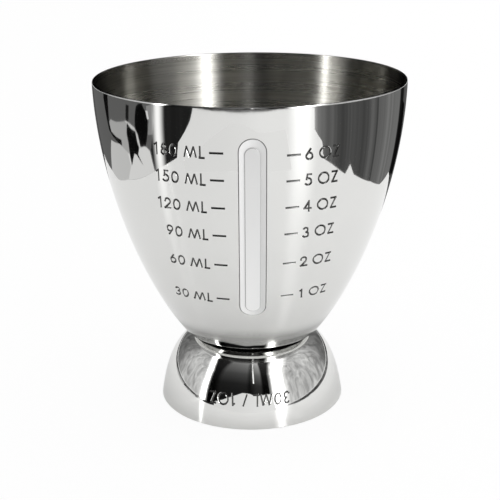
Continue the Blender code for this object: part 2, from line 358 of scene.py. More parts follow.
def cup_section():
    """Closed section of the measuring cup: up the inside, over the round rim and down the outside."""
    outside = cup_wall()
    inside = set_in(outside, SHEET)
    bend_centre = Vector((CUP_FLOOR_RADIUS, 0.0, CUP_FLOOR_HEIGHT + CUP_FLOOR_INSIDE_BEND + SHEET))
    inner_bend = arc(bend_centre, CUP_FLOOR_INSIDE_BEND, 0.0, WALL_START_ANGLE, BEND_STEPS)
    outer_bend = arc(bend_centre, CUP_FLOOR_INSIDE_BEND + SHEET, WALL_START_ANGLE, 0.0, BEND_STEPS)
    rim_round = arc((outside[-1] + inside[-1]) / 2, SHEET / 2, 270.0, 90.0, RIM_STEPS)
    floor_inside = Vector((0.0, 0.0, CUP_FLOOR_HEIGHT + SHEET))
    floor_outside = Vector((0.0, 0.0, CUP_FLOOR_HEIGHT))
    up = [floor_inside] + inner_bend + inside[1:-1]
    down = outside[-2:0:-1] + outer_bend + [floor_outside]
    return up + rim_round + down


def foot_wall():
    """Outside of the foot cup, from its rim on the table up to its floor."""
    lean = math.radians(FOOT_LEAN)
    rim = Vector((FOOT_RADIUS, 0.0, 0.0))
    rise = Vector((-math.sin(lean), 0.0, math.cos(lean)))
    shoulder = Vector((FOOT_TOP_RADIUS, 0.0, FOOT_HEIGHT))
    handles = rim + FOOT_PULL * rise, shoulder + Vector((SHOULDER_PULL, 0.0, 0.0))
    return interpolate_bezier(rim, *handles, shoulder, FOOT_CURVE_STEPS + 1)


def foot_section():
    """Closed section of the foot cup: from its floor down the outside, across the rim and up the inside."""
    outside = foot_wall()
    inside = set_in(outside, SHEET)
    inside[-1] = Vector((FOOT_TOP_RADIUS, 0.0, FOOT_HEIGHT - SHEET))
    lean = math.radians(FOOT_LEAN)
    rise = Vector((-math.sin(lean), 0.0, math.cos(lean)))
    outer_edge = outside[0] + FOOT_EDGE_ROUND * rise
    inner_edge = inside[0] + FOOT_EDGE_ROUND * rise
    rim_outer = Vector((FOOT_RADIUS - FOOT_EDGE_ROUND, 0.0, 0.0))
    rim_inner = Vector((inside[0].x + FOOT_EDGE_ROUND, 0.0, 0.0))
    floor_outside = Vector((0.0, 0.0, FOOT_HEIGHT))
    floor_inside = Vector((0.0, 0.0, FOOT_HEIGHT - SHEET))
    down = [floor_outside] + outside[:0:-1] + [outer_edge]
    return down + [rim_outer, rim_inner, inner_edge] + inside[1:] + [floor_inside]


class Wall:
    """One face of a turned wall, from low to high, measured along its slope."""

    def __init__(self, points, outward):
        self.points = points
        self.outward = outward
        self.lengths = [0.0]
        for low, high in zip(points, points[1:]):
            self.lengths.append(self.lengths[-1] + (high - low).length)
        self.heights = [point.z for point in points]

    def stretch(self, measures, value):
        """Index of the stretch between two points in which a measure reaches a value."""
        index = 0
        while index < len(measures) - 2 and measures[index + 1] < value:
            index += 1
        return index

    def blend(self, measures, value):
        """Point and outward direction where a measure along the wall reaches a value."""
        index = self.stretch(measures, value)
        share = (value - measures[index]) / (measures[index + 1] - measures[index])
        point = self.points[index].lerp(self.points[index + 1], share)
        outward = self.outward[index].lerp(self.outward[index + 1], share).normalized()
        return point, outward

    def along(self, height):
        """Length along the wall at a height above the table."""
        index = self.stretch(self.heights, height)
        point = self.blend(self.heights, height)[0]
        return self.lengths[index] + (point - self.points[index]).length

    def place(self, across, along, lift):
        """The place on the wall's -Y side, lifted outwards from its face."""
        point, outward = self.blend(self.lengths, along)
        return Matrix.Rotation(across / point.x - math.pi / 2, 3, "Z") @ (point + lift * outward)


def outer_wall(points):
    """The outside of a wall."""
    outward = [moved - point for moved, point in zip(set_in(points, -1.0), points)]
    return Wall(points, outward)


def inner_wall(points):
    """The inside of a wall, given by the points of its outside."""
    inward = [moved - point for moved, point in zip(set_in(points, 1.0), points)]
    return Wall(set_in(points, SHEET), inward)


# Making pieces


def piece_from(name, body, *materials):
    """A new object at the origin from a finished bmesh."""
    mesh = bpy.data.meshes.new(name)
    body.to_mesh(mesh)
    body.free()
    for material in materials:
        mesh.materials.append(material)
    piece = bpy.data.objects.new(name, mesh)
    bpy.context.scene.collection.objects.link(piece)
    return piece


def chain(body, points, closed=False):
    """Edges through a row of points."""
    line = [body.verts.new(point) for point in points]
    ends = line[1:] + line[:1] if closed else line[1:]
    return [body.edges.new(pair) for pair in zip(line, ends)]


def turned(section):
    """The section spun once round the Z axis, closed at its poles."""
    body = bmesh.new()
    chain(body, section)
    bmesh.ops.spin(
        body,
        geom=body.verts[:] + body.edges[:],
        cent=ORIGIN,
        axis=AXIS,
        angle=2 * math.pi,
        steps=TURN_STEPS,
        use_merge=True,
    )
    bmesh.ops.remove_doubles(body, verts=body.verts, dist=MERGE_DISTANCE)
    bmesh.ops.recalc_face_normals(body, faces=body.faces)
    for face in body.faces:
        face.smooth = True
    return body


def finish_inside(body, looks_in, at_seam=None):
    """Gives the faces that look into a cup their own finish, and those at the welded seam the dull finish
    with painted shade.
    """
    for face in body.faces:
        if looks_in(face):
            face.material_index = INSIDE_FINISH
        elif at_seam and at_seam(face):
            face.material_index = SEAM_FINISH


def cut(piece, cutters):
    """Cuts shapes out of a piece for good; the cut faces take the cutter's finish."""
    for cutter in cutters:
        step = piece.modifiers.new("cut", "BOOLEAN")
        step.operation = "DIFFERENCE"
        step.solver = "MANIFOLD"
        step.material_mode = "TRANSFER"
        step.object = cutter
    depsgraph = bpy.context.evaluated_depsgraph_get()
    cut_mesh = bpy.data.meshes.new_from_object(piece.evaluated_get(depsgraph))
    piece.modifiers.clear()
    piece.data = cut_mesh
    for cutter in cutters:
        bpy.data.objects.remove(cutter, do_unlink=True)


def true_normals(piece, walls):
    """Shades wall faces by the wall's own slope, so that the mirror stays true round the cuts."""
    mesh = piece.data
    mesh.set_sharp_from_angle(angle=math.radians(SHELL_SHARP_ANGLE))
    normals = []
    for face in mesh.polygons:
        corners = [mesh.vertices[index].co for index in face.vertices]
        normals.extend(wall_normals(corners, face.normal, walls))
    mesh.normals_split_custom_set(normals)


def wall_normals(corners, face_normal, walls):
    """The wall's normals at the corners of one of its faces, or zeros, which leave another face as it is."""
    for wall in walls:
        lowest = wall.heights[0] - WALL_TOLERANCE
        highest = wall.heights[-1] + WALL_TOLERANCE
        found = []
        for corner in corners:
            radius = math.hypot(corner.x, corner.y)
            point, outward = wall.blend(wall.heights, corner.z)
            on_wall = lowest <= corner.z <= highest and abs(radius - point.x) <= WALL_TOLERANCE
            if not on_wall or radius < WALL_TOLERANCE:
                break
            normal = Vector((outward.x * corner.x / radius, outward.x * corner.y / radius, outward.z))
            if normal.dot(face_normal) < WALL_FACING:
                break
            found.append(normal)
        if len(found) == len(corners):
            return found
    return [ORIGIN] * len(corners)


# Sight window: modelled flat as (across, along, lift), then wrapped on the cup's wall


def window_outline(wall, grow, shorten):
    """Straight sides and round ends, anticlockwise, grown all round and shortened at the ends."""
    radius = WINDOW_WIDTH / 2 + grow
    low = WINDOW_ABOVE_FLOOR + WINDOW_WIDTH / 2 + shorten
    high = wall.lengths[-1] - WINDOW_BELOW_RIM - WINDOW_WIDTH / 2 - shorten
    points = []
    for middle, start in ((high, 0.0), (low, math.pi)):
        for step in range(WINDOW_END_STEPS + 1):
            angle = start + math.pi * step / WINDOW_END_STEPS
            points.append((radius * math.cos(angle), middle + radius * math.sin(angle)))
    return points


def slice_up(body, spacing):
    """Cuts a flat shape across and along into small faces, so that it can bend."""
    for axis in (0, 1):
        low = min(vert.co[axis] for vert in body.verts)
        high = max(vert.co[axis] for vert in body.verts)
        normal = Vector((1.0, 0.0, 0.0)) if axis == 0 else Vector((0.0, 1.0, 0.0))
        count = max(2, round((high - low) / spacing))
        for step in range(1, count):
            middle = normal * (low + (high - low) * step / count)
            geom = body.verts[:] + body.edges[:] + body.faces[:]
            bmesh.ops.bisect_plane(body, geom=geom, dist=SLICE_SNAP, plane_co=middle, plane_no=normal)


def wrap(body, wall):
    """Bends a flat shape on the wall, with its faces outwards."""
    for vert in body.verts:
        vert.co = wall.place(*vert.co)
    if body.calc_volume(signed=True) < 0.0:
        bmesh.ops.reverse_faces(body, faces=body.faces)
    for face in body.faces:
        face.smooth = True


def plug(wall, sections):
    """A plug of the window's outline, wrapped on the wall.

    Its (grow, lift, shorten, finish) sections are bridged in order. A band has its second section's finish.
    """
    body = bmesh.new()
    loops = []
    for grow, lift, shorten, finish in sections:
        outline = [Vector((across, along, lift)) for across, along in window_outline(wall, grow, shorten)]
        loops.append(chain(body, outline, closed=True))
        if len(loops) > 1:
            band = bmesh.ops.bridge_loops(body, edges=loops[-2] + loops[-1])
            for face in band["faces"]:
                face.material_index = finish
    bmesh.ops.edgeloop_fill(body, edges=loops[0])
    bmesh.ops.edgeloop_fill(body, edges=loops[-1])
    bmesh.ops.recalc_face_normals(body, faces=body.faces)
    slice_up(body, WINDOW_SLICE)
    wrap(body, wall)
    return body


def rounded_edge(grow, lift, radius, shorten, finish):
    """Sections of a rounded top edge, from its side to its top."""
    sections = []
    for step in range(WINDOW_ROUND_STEPS + 1):
        angle = math.pi / 2 * step / WINDOW_ROUND_STEPS
        inward = radius * (1.0 - math.cos(angle))
        sections.append((grow - inward, lift - radius + radius * math.sin(angle), shorten, finish))
    return sections


def window_slot_cutter(wall, material):
    """What cuts the window's slot through the cup's wall."""
    low = SLOT_CLEARANCE, -SHEET - SLOT_CUTTER_REACH, 0.0, SLOT_FINISH
    high = SLOT_CLEARANCE, SLOT_CUTTER_REACH, 0.0, SLOT_FINISH
    return piece_from("window_slot_cutter", plug(wall, (low, high)), material)


def sight_window(wall, pane, border, edge):
    """Moulded plug: flange inside the cup, body in the slot, flat border and raised, round-edged pane."""
    shorter = WINDOW_END_BORDER - WINDOW_BORDER
    sections = []
    flange_edge = rounded_edge(FLANGE_LAP, 0.0, FLANGE_EDGE_ROUND, 0.0, PANE_FINISH)
    for grow, lift, shorten, finish in reversed(flange_edge):
        sections.append((grow, FLANGE_INNER_FACE - lift, shorten, finish))
    sections.append((FLANGE_LAP, FLANGE_OUTER_FACE, 0.0, PANE_FINISH))
    sections.append((0.0, FLANGE_OUTER_FACE, 0.0, PANE_FINISH))
    sections.extend(rounded_edge(0.0, WINDOW_EDGE_PROUD, WINDOW_EDGE_ROUND, 0.0, EDGE_FINISH))
    sections.append((-WINDOW_BORDER, WINDOW_BORDER_PROUD, shorter, BORDER_FINISH))
    pane_side = -WINDOW_BORDER - WINDOW_STEP + WINDOW_PANE_ROUND
    sections.extend(rounded_edge(pane_side, WINDOW_PANE_PROUD, WINDOW_PANE_ROUND, shorter, EDGE_FINISH))
    piece = piece_from("moulded_window", plug(wall, sections), pane, border, edge)
    piece.data.set_sharp_from_angle(angle=math.radians(WINDOW_SHARP_ANGLE))
    return piece


# Volume marks: strokes in letter units, one letter high, then laid on a wall as round grooves


def bow(centre_x, centre_y, radius_x, radius_y, start, end):
    """Points of a round stroke, with angles anticlockwise from the right."""
    steps = max(BOW_FEWEST_STEPS, round(abs(end - start) / BOW_STEP))
    points = []
    for step in range(steps + 1):
        angle = math.radians(start + (end - start) * step / steps)
        points.append((centre_x + radius_x * math.cos(angle), centre_y + radius_y * math.sin(angle)))
    return points


# Each letter's width and strokes
LETTERS = {
    "0": (0.64, [bow(0.32, 0.5, 0.32, 0.5, 0, 360)]),
    "1": (0.24, [[(0.0, 0.82), (0.24, 1.0)], [(0.24, 1.0), (0.24, 0.0)]]),
    "2": (0.58, [bow(0.29, 0.70, 0.27, 0.30, 175, -38) + [(0.02, 0.0)], [(0.0, 0.0), (0.58, 0.0)]]),
    "3": (0.56, [bow(0.27, 0.76, 0.23, 0.24, 160, -90), bow(0.26, 0.26, 0.30, 0.26, 90, -160)]),
    "4": (0.62, [[(0.62, 0.25), (0.0, 0.25)], [(0.0, 0.25), (0.46, 1.0)], [(0.46, 1.0), (0.46, 0.0)]]),
    "5": (0.58, [
        [(0.52, 1.0), (0.2, 1.0)],
        [(0.2, 1.0), (0.12, 0.56)],
        bow(0.26, 0.32, 0.32, 0.32, 116, -150),
    ]),
    "6": (0.60, [[(0.42, 1.0), (0.05, 0.46)], bow(0.30, 0.30, 0.30, 0.30, 0, 360)]),
    "8": (0.60, [bow(0.30, 0.76, 0.24, 0.24, 0, 360), bow(0.30, 0.26, 0.30, 0.26, 0, 360)]),
    "9": (0.60, [[(0.18, 0.0), (0.55, 0.54)], bow(0.30, 0.70, 0.30, 0.30, 0, 360)]),
    "M": (1.14, [
        [(0.0, 0.0), (0.24, 1.0)],
        [(0.24, 1.0), (0.57, 0.0)],
        [(0.57, 0.0), (0.90, 1.0)],
        [(0.90, 1.0), (1.14, 0.0)],
    ]),
    "L": (0.36, [[(0.0, 1.0), (0.0, 0.0)], [(0.0, 0.0), (0.36, 0.0)]]),
    "O": (1.04, [bow(0.52, 0.5, 0.52, 0.52, 0, 360)]),
    "Z": (0.48, [[(0.0, 1.0), (0.48, 1.0)], [(0.48, 1.0), (0.0, 0.0)], [(0.0, 0.0), (0.48, 0.0)]]),
    "/": (0.42, [[(0.0, -0.05), (0.42, 1.05)]]),
}


def set_line(words):
    """Strokes of a line of letters, in metres from its left end and middle height, and the line's length.

    Each stroke comes with its layer, because the strokes of a letter meet.
    """
    strokes = []
    cursor = 0.0
    for letter in words:
        if letter == " ":
            cursor += WORD_GAP - LETTER_GAP
            continue
        width, drawn = LETTERS[letter]
        width *= LETTER_HEIGHT
        left = cursor
        if letter.isdigit():
            left += max(0.0, DIGIT_PITCH - LETTER_GAP - width) / 2
            width = max(width, DIGIT_PITCH - LETTER_GAP)
        for order, points in enumerate(drawn):
            placed = [(left + x * LETTER_HEIGHT, (y - 0.5) * LETTER_HEIGHT) for x, y in points]
            strokes.append((order % STROKE_LAYERS, placed))
        cursor += width + LETTER_GAP
    return strokes, cursor - LETTER_GAP


def shifted(strokes, right, up, scale=1.0):
    """Strokes scaled, then moved."""
    return [(layer, [(right + x * scale, up + y * scale) for x, y in points]) for layer, points in strokes]


def cup_strokes(wall):
    """Millilitres left of the window and ounces right of it, each with its dash."""
    strokes = []
    for number, height in MILLILITRE_MARKS:
        words, length = set_line(number + " ML")
        along = wall.along(height)
        inner = DASH_INNER_END * mark_squeeze(wall, along)
        strokes.append((0, [(-inner - DASH_LENGTH, along), (-inner, along)]))
        strokes.extend(shifted(words, -inner - DASH_LENGTH - DASH_GAP - length, along))
    for number, height in OUNCE_MARKS:
        words = set_line(number + " OZ")[0]
        along = wall.along(height)
        inner = DASH_INNER_END_OUNCES * mark_squeeze(wall, along)
        strokes.append((0, [(inner, along), (inner + DASH_LENGTH, along)]))
        strokes.extend(shifted(words, inner + DASH_LENGTH + DASH_GAP, along))
    return strokes


def mark_squeeze(wall, along):
    """The columns of marks draw in a little where the cup narrows."""
    point = wall.blend(wall.lengths, along)[0]
    return 1.0 - MARK_TAPER * (1.0 - point.x / RIM_RADIUS)


def foot_strokes():
    """The foot cup's own volume, to be read with the jigger turned over."""
    words, length = set_line(FOOT_MARK)
    centred = shifted(words, -length / 2, 0.0)
    turned_over = [(layer, [(-x * FOOT_MARK_NARROW, -y) for x, y in points]) for layer, points in centred]
    return shifted(turned_over, FOOT_MARK_MIDDLE, FOOT_MARK_ALONG, FOOT_MARK_SCALE)


def stroke_cutters(name, strokes, wall, groove, flank):
    """A cutter for each layer of strokes, because strokes that meet can't share one."""
    cutters = []
    for layer in range(STROKE_LAYERS):
        drawn = [points for order, points in strokes if order == layer]
        cutters.append(stroke_cutter("%s_%d" % (name, layer + 1), drawn, wall, groove, flank))
    return cutters


def stroke_cutter(name, strokes, wall, groove, flank):
    """Round bars along the strokes, sunk in the wall so far that they cut grooves of the stroke's width.

    The grooves are etched, apart from their flanks, which stay bright except on the lower side, where the
    dark etch is painted shade.
    """
    half = STROKE_WIDTH / 2
    bar_radius = (half * half + STROKE_DEPTH * STROKE_DEPTH) / (2 * STROKE_DEPTH)
    drawing = bpy.data.curves.new(name, "CURVE")
    drawing.dimensions = "3D"
    drawing.bevel_depth = bar_radius
    drawing.bevel_resolution = STROKE_ROUND_STEPS
    drawing.use_fill_caps = True
    drawing.twist_mode = "Z_UP"
    for points in strokes:
        path = square_ends(points, half)
        closed = math.dist(points[0], points[-1]) < CLOSED_STROKE_GAP
        if closed:
            path = points[:-1]
        spline = drawing.splines.new("POLY")
        spline.points.add(len(path) - 1)
        spline.use_cyclic_u = closed
        for spot, (x, y) in zip(spline.points, path):
            spot.co = (x, y, bar_radius - STROKE_DEPTH, 1.0)
    holder = bpy.data.objects.new(name + "_drawing", drawing)
    bpy.context.scene.collection.objects.link(holder)
    bars = bpy.data.meshes.new_from_object(holder.evaluated_get(bpy.context.evaluated_depsgraph_get()))
    bpy.data.objects.remove(holder, do_unlink=True)
    body = bmesh.new()
    body.from_mesh(bars)
    bmesh.ops.remove_doubles(body, verts=body.verts, dist=MERGE_DISTANCE)
    body.normal_update()
    for face in body.faces:
        # painted shade: lower flanks, which face up to the lamps, take the dark etched finish
        bright = face.normal.z > STROKE_FLOOR_SLOPE and face.normal.y > STROKE_LOWER_SIDE
        face.material_index = FLANK_FINISH if bright else GROOVE_FINISH
    wrap(body, wall)
    return piece_from(name, body, groove, flank)


def square_ends(points, extra):
    """A stroke drawn out at both ends by half its width, or by less where it slants.

    A straight one also gets points between its ends, so that it follows the wall.
    """
    first = Vector(points[0])
    last = Vector(points[-1])
    slanted = abs(first.x - last.x) > extra and abs(first.y - last.y) > extra
    extra *= SLANTED_END if slanted else 1.0
    start = first + extra * (first - Vector(points[1])).normalized()
    end = last + extra * (last - Vector(points[-2])).normalized()
    inner = [Vector(point) for point in points[1:-1]]
    if not inner:
        inner = [start.lerp(end, share) for share in STROKE_REST_POINTS]
    return [tuple(point) for point in [start] + inner + [end]]


# Finishes


class Finish:
    """The nodes of a material or of the world, made and linked one by one."""

    def __init__(self, owner):
        owner.use_nodes = True
        self.owner = owner
        self.tree = owner.node_tree

    def feed(self, node, inputs):
        """Sets each named input to a constant or links it to another node's output."""
        for name, value in inputs.items():
            if isinstance(value, bpy.types.NodeSocket):
                self.tree.links.new(value, node.inputs[name])
            else:
                node.inputs[name].default_value = value

    def node(self, kind, inputs=None, **settings):
        """A new node with its settings and inputs."""
        node = self.tree.nodes.new("ShaderNode" + kind)
        for setting, value in settings.items():
            setattr(node, setting, value)
        self.feed(node, inputs or {})
        return node

    def skin(self, inputs):
        """The material of a piece, once its surface has these inputs."""
        self.feed(self.tree.nodes["Principled BSDF"], inputs)
        return self.owner

    def surface(self, shader):
        """The material of a thing in the studio, once it has this shader."""
        self.tree.nodes.remove(self.tree.nodes["Principled BSDF"])
        self.feed(self.tree.nodes["Material Output"], {"Surface": shader})
        return self.owner

    def coordinates(self, kind="Object"):
        return self.node("TexCoord").outputs[kind]

    def axes(self, place):
        """The X, Y and Z of a place, by name."""
        return self.node("SeparateXYZ", {"Vector": place}).outputs

    def stretched(self, place, scale):
        return self.node("Mapping", {"Vector": place, "Scale": scale}).outputs["Vector"]

    def distance(self, place):
        """How far a place is from the origin."""
        return self.node("VectorMath", {0: place}, operation="LENGTH").outputs["Value"]

    def azimuth(self, place):
        """Degrees round the object from the window side, of a place in the studio."""
        axes = self.axes(place)
        front = self.maths("MULTIPLY", axes["Y"], -1.0)
        return self.maths("DEGREES", self.maths("ARCTAN2", axes["X"], front))

    def maths(self, operation, *values):
        return self.node("Math", dict(enumerate(values)), operation=operation).outputs["Value"]

    def noise(self, place, scale, detail=3.0, roughness=0.5, distortion=0.0):
        inputs = {
            "Vector": place,
            "Scale": scale,
            "Detail": detail,
            "Roughness": roughness,
            "Distortion": distortion,
        }
        return self.node("TexNoise", inputs).outputs["Fac"]

    def spread(self, noise, low, high):
        """The middle range of a noise taken to a range from low to high."""
        start, end = NOISE_RANGE
        inputs = {"Value": noise, "From Min": start, "From Max": end, "To Min": low, "To Max": high}
        return self.node("MapRange", inputs).outputs["Result"]

    def fade(self, value, start, end, lowest=0.0):
        """A smooth rise from the lowest share to the whole, between two values."""
        inputs = {"Value": value, "From Min": start, "From Max": end, "To Min": lowest}
        return self.node("MapRange", inputs, interpolation_type="SMOOTHSTEP").outputs["Result"]

    def ramp(self, value, low, high, stops):
        """Grey levels at stops of a value between low and high."""
        reach = self.node("MapRange", {"Value": value, "From Min": low, "From Max": high})
        colours = self.node("ValToRGB", {"Fac": reach.outputs["Result"]})
        elements = colours.color_ramp.elements
        while len(elements) < len(stops):
            elements.new(0.5)
        for element, (spot, level) in zip(elements, stops):
            element.position = (spot - low) / (high - low)
            element.color = (level, level, level, 1.0)
        return colours.outputs["Color"]

    def tint(self, value, dark, light):
        """A colour between two by a value from 0 to 1."""
        inputs = {"Factor": value, "A": (*dark, 1.0), "B": (*light, 1.0)}
        return self.node("Mix", inputs, data_type="RGBA").outputs["Result"]

    def times(self, first, second):
        inputs = {"Factor": 1.0, "A": first, "B": second}
        return self.node("Mix", inputs, data_type="RGBA", blend_type="MULTIPLY").outputs["Result"]

    def bump(self, height, strength, distance):
        inputs = {"Height": height, "Strength": strength, "Distance": distance}
        return self.node("Bump", inputs).outputs["Normal"]

    def glow(self, colour, level=1.0):
        return self.node("Emission", {"Color": colour, "Strength": level}).outputs["Emission"]

    def clear(self):
        return self.node("BsdfTransparent").outputs["BSDF"]

    def mix(self, share, first, second):
        """The second shader over the first, by its share."""
        return self.node("MixShader", {"Fac": share, 1: first, 2: second}).outputs["Shader"]


def new_finish(name):
    return Finish(bpy.data.materials.new(name))


def polished_steel():
    """Mirror polish with faint hand smears, hazier towards the seam between the cups and darkened there by
    painted shade.
    """
    finish = new_finish("polished_steel")
    place = finish.coordinates()
    height = finish.axes(place)["Z"]
    patches = finish.noise(place, scale=35.0)
    smears = finish.noise(place, scale=90.0, detail=4.0, roughness=0.6)
    bright = finish.tint(patches, dark=(0.735, 0.735, 0.72), light=(0.78, 0.78, 0.765))
    # painted shade: the steel darkens by height towards the seam between the cups
    painted_shade = finish.ramp(height, 0.0, RIM_HEIGHT, SEAM_PAINTED_SHADE)
    haze = finish.ramp(height, 0.0, RIM_HEIGHT, SEAM_HAZE)
    smeared = finish.spread(smears, low=0.02, high=0.055)
    return finish.skin({
        "Base Color": finish.times(bright, painted_shade),
        "Roughness": finish.maths("ADD", smeared, haze),
        "Metallic": 1.0,
    })


def ring_coordinates(finish):
    """Coordinates that change fast across the turning marks and slowly along them."""
    axes = finish.axes(finish.coordinates())
    flat = finish.node("CombineXYZ", {"X": axes["X"], "Y": axes["Y"]}).outputs["Vector"]
    across = finish.maths("ADD", finish.distance(flat), axes["Z"])
    joined = finish.node("CombineXYZ", {"X": axes["X"], "Y": axes["Y"], "Z": across})
    return finish.stretched(joined.outputs["Vector"], RING_STRETCH)


def brushed_steel():
    """Fine turning rings left inside the cups."""
    finish = new_finish("brushed_steel")
    rings = ring_coordinates(finish)
    fine = finish.noise(rings, scale=24.0, detail=5.0, roughness=0.7)
    broad = finish.noise(rings, scale=9.0)
    tangent = finish.node("Tangent", direction_type="RADIAL", axis="Z")
    return finish.skin({
        "Base Color": finish.tint(fine, dark=(0.26, 0.255, 0.235), light=(0.70, 0.69, 0.65)),
        "Roughness": finish.spread(broad, low=0.24, high=0.31),
        "Metallic": 1.0,
        # painted shade: a dark edge tint darkens the inside where it is seen at a low angle
        "Specular Tint": (0.12, 0.12, 0.11, 1.0),
        "Anisotropic": 1.0,
        "Anisotropic Rotation": 0.25,
        "Tangent": tangent.outputs["Tangent"],
        "Normal": finish.bump(fine, strength=0.2, distance=0.00003),
    })


def etched_steel():
    """Satin grooves of the engraved strokes."""
    finish = new_finish("etched_steel")
    grain = finish.noise(finish.coordinates(), scale=2500.0, detail=2.0)
    return finish.skin({
        "Base Color": finish.tint(grain, dark=(0.05, 0.05, 0.049), light=(0.10, 0.10, 0.098)),
        "Roughness": finish.spread(grain, low=0.10, high=0.18),
        "Metallic": 1.0,
    })


def dull_painted_shade_steel():
    """Steel on the foot's top under the seam, duller than the polish and painted near-black as shade in the
    crevice between the cups.
    """
    finish = new_finish("dull_painted_shade_steel")
    grain = finish.noise(finish.coordinates(), scale=900.0)
    return finish.skin({
        # painted shade: near-black colour for the crevice between the cups
        "Base Color": finish.tint(grain, dark=(0.04, 0.04, 0.039), light=(0.09, 0.09, 0.088)),
        "Roughness": finish.spread(grain, low=0.14, high=0.24),
        "Metallic": 1.0,
    })


def window_plastic(name, axis, span, stops):
    """Milky moulded plastic with a satin skin, whose whiteness changes along one axis as painted light and
    shade.
    """
    finish = new_finish(name)
    place = finish.coordinates()
    # painted light and shade: whiteness set by place along one axis
    painted_light = finish.ramp(finish.axes(place)[axis], *span, stops)
    cloud = finish.noise(place, scale=120.0)
    clouded = finish.tint(cloud, dark=(0.96, 0.96, 0.955), light=(1.0, 1.0, 0.995))
    grain = finish.noise(place, scale=900.0, detail=2.0)
    return finish.skin({
        "Base Color": finish.times(painted_light, clouded),
        "Roughness": finish.spread(grain, low=0.16, high=0.26),
        "IOR": 1.5,
        "Normal": finish.bump(grain, strength=0.05, distance=0.00002),
    })


def clear_silicone():
    finish = new_finish("clear_silicone")
    cloud = finish.noise(finish.coordinates(), scale=400.0, detail=2.0)
    return finish.skin({
        "Base Color": finish.tint(cloud, dark=(0.68, 0.68, 0.66), light=(0.78, 0.78, 0.76)),
        "Roughness": finish.spread(cloud, low=0.40, high=0.55),
        "Transmission Weight": 0.3,
    })


def weld_steel():
    finish = new_finish("weld_steel")
    grain = finish.noise(finish.coordinates(), scale=1500.0)
    return finish.skin({
        "Base Color": finish.tint(grain, dark=(0.36, 0.35, 0.33), light=(0.56, 0.54, 0.51)),
        "Roughness": finish.spread(grain, low=0.35, high=0.55),
        "Metallic": 1.0,
        "Normal": finish.bump(grain, strength=0.3, distance=0.00004),
    })


# Studio: a white paper sheet on a dark table, in a pale tent that opens towards the camera


def card_finish(name, level):
    """A card that shines evenly."""
    finish = new_finish(name)
    return finish.surface(finish.glow(WHITE, level))


def table_finish():
    """Dark table top round the paper: grey levels and fine streaks by azimuth, as low light leaves them."""
    finish = new_finish("dark_table")
    azimuth = finish.azimuth(finish.coordinates())
    sides = finish.ramp(azimuth, -180.0, 180.0, TABLE_LEVELS)
    around = finish.node("CombineXYZ", {"X": azimuth}).outputs["Vector"]
    wear = finish.noise(around, scale=0.20, detail=4.0, roughness=0.6)
    streaks = finish.ramp(wear, 0.0, 1.0, TABLE_STREAKS)
    return finish.surface(finish.glow(finish.times(sides, streaks)))


def white_card_finish():
    """A card nearly as white as the paper that it stands on, with the paper's painted light."""
    finish = new_finish("white_card")
    side = finish.axes(finish.coordinates())["X"]
    stops = [(spot, level * LOW_CARD_LEVEL) for spot, level in PAPER_PAINTED_LIGHT]
    return finish.surface(finish.glow(finish.ramp(side, *PAPER_SPAN, stops)))


def opening_finish():
    """The dim room seen through the front of the tent: greys from left to right, lighter higher up."""
    finish = new_finish("tent_opening")
    place = finish.coordinates()
    across = finish.ramp(finish.azimuth(place), *ROOM_SPAN, ROOM_ACROSS)
    upward = finish.ramp(finish.axes(place)["Z"], 0.0, STUDIO_REACH, ROOM_UPWARD)
    return finish.surface(finish.glow(finish.times(across, upward)))


def beam_finish(name, middle, half_width, level):
    """Lamp light on the floor: bright along one azimuth, fading on both sides and near the object."""
    finish = new_finish(name)
    place = finish.coordinates()
    off = finish.maths("ABSOLUTE", finish.maths("SUBTRACT", finish.azimuth(place), middle))
    near = finish.fade(off, half_width, half_width * BEAM_CORE)
    away = finish.fade(finish.distance(place), BEAM_START, BEAM_FULL, BEAM_NEAR_SHARE)
    share = finish.maths("MULTIPLY", near, away)
    return finish.surface(finish.mix(share, finish.clear(), finish.glow(WHITE, level)))


def lamp_finish(name, level, edge):
    """A lamp that is bright across its middle and fades out at both long edges."""
    finish = new_finish(name)
    across = finish.node("Attribute", attribute_name="across").outputs["Fac"]
    rise = (0.0, 0.0), (edge * LAMP_FADE, 0.04), (edge, 0.2)
    fall = [(1.0 - spot, share) for spot, share in reversed(rise)]
    share = finish.ramp(across, 0.0, 1.0, [*rise, (0.5, 1.0), *fall])
    return finish.surface(finish.mix(share, finish.clear(), finish.glow(WHITE, level)))


def white_floor():
    """White sweep that keeps a little of the object's shadow.

    At a low angle its sheen lets mirrored rays through to the lamps' mirror images below it.
    """
    finish = new_finish("white_floor")
    rays = finish.node("LightPath").outputs
    direct = finish.maths("MAXIMUM", rays["Is Camera Ray"], rays["Is Transmission Ray"])
    seen = finish.maths("MULTIPLY", direct, FLOOR_SEEN_WHITE)
    mirrored = finish.maths("MULTIPLY", rays["Is Glossy Ray"], FLOOR_MIRRORED_WHITE)
    place = finish.coordinates()
    # painted light: the paper lighter from left to right
    across = finish.ramp(finish.axes(place)["X"], *PAPER_SPAN, PAPER_PAINTED_LIGHT)
    # painted shadow: the paper darker round the foot
    painted_shadow = finish.ramp(finish.distance(place), 0.0, CONTACT_REACH, CONTACT_SHADE)
    paint = finish.node("BsdfDiffuse", {"Color": finish.times(across, painted_shadow)}).outputs["BSDF"]
    paper = finish.mix(finish.maths("MAXIMUM", seen, mirrored), paint, finish.glow(WHITE))
    facing = finish.node("LayerWeight").outputs["Facing"]
    low_angle = finish.ramp(facing, 0.0, 1.0, FLOOR_SHEEN)
    sheen = finish.maths("MULTIPLY", rays["Is Glossy Ray"], low_angle)
    return finish.surface(finish.mix(sheen, paper, finish.clear()))


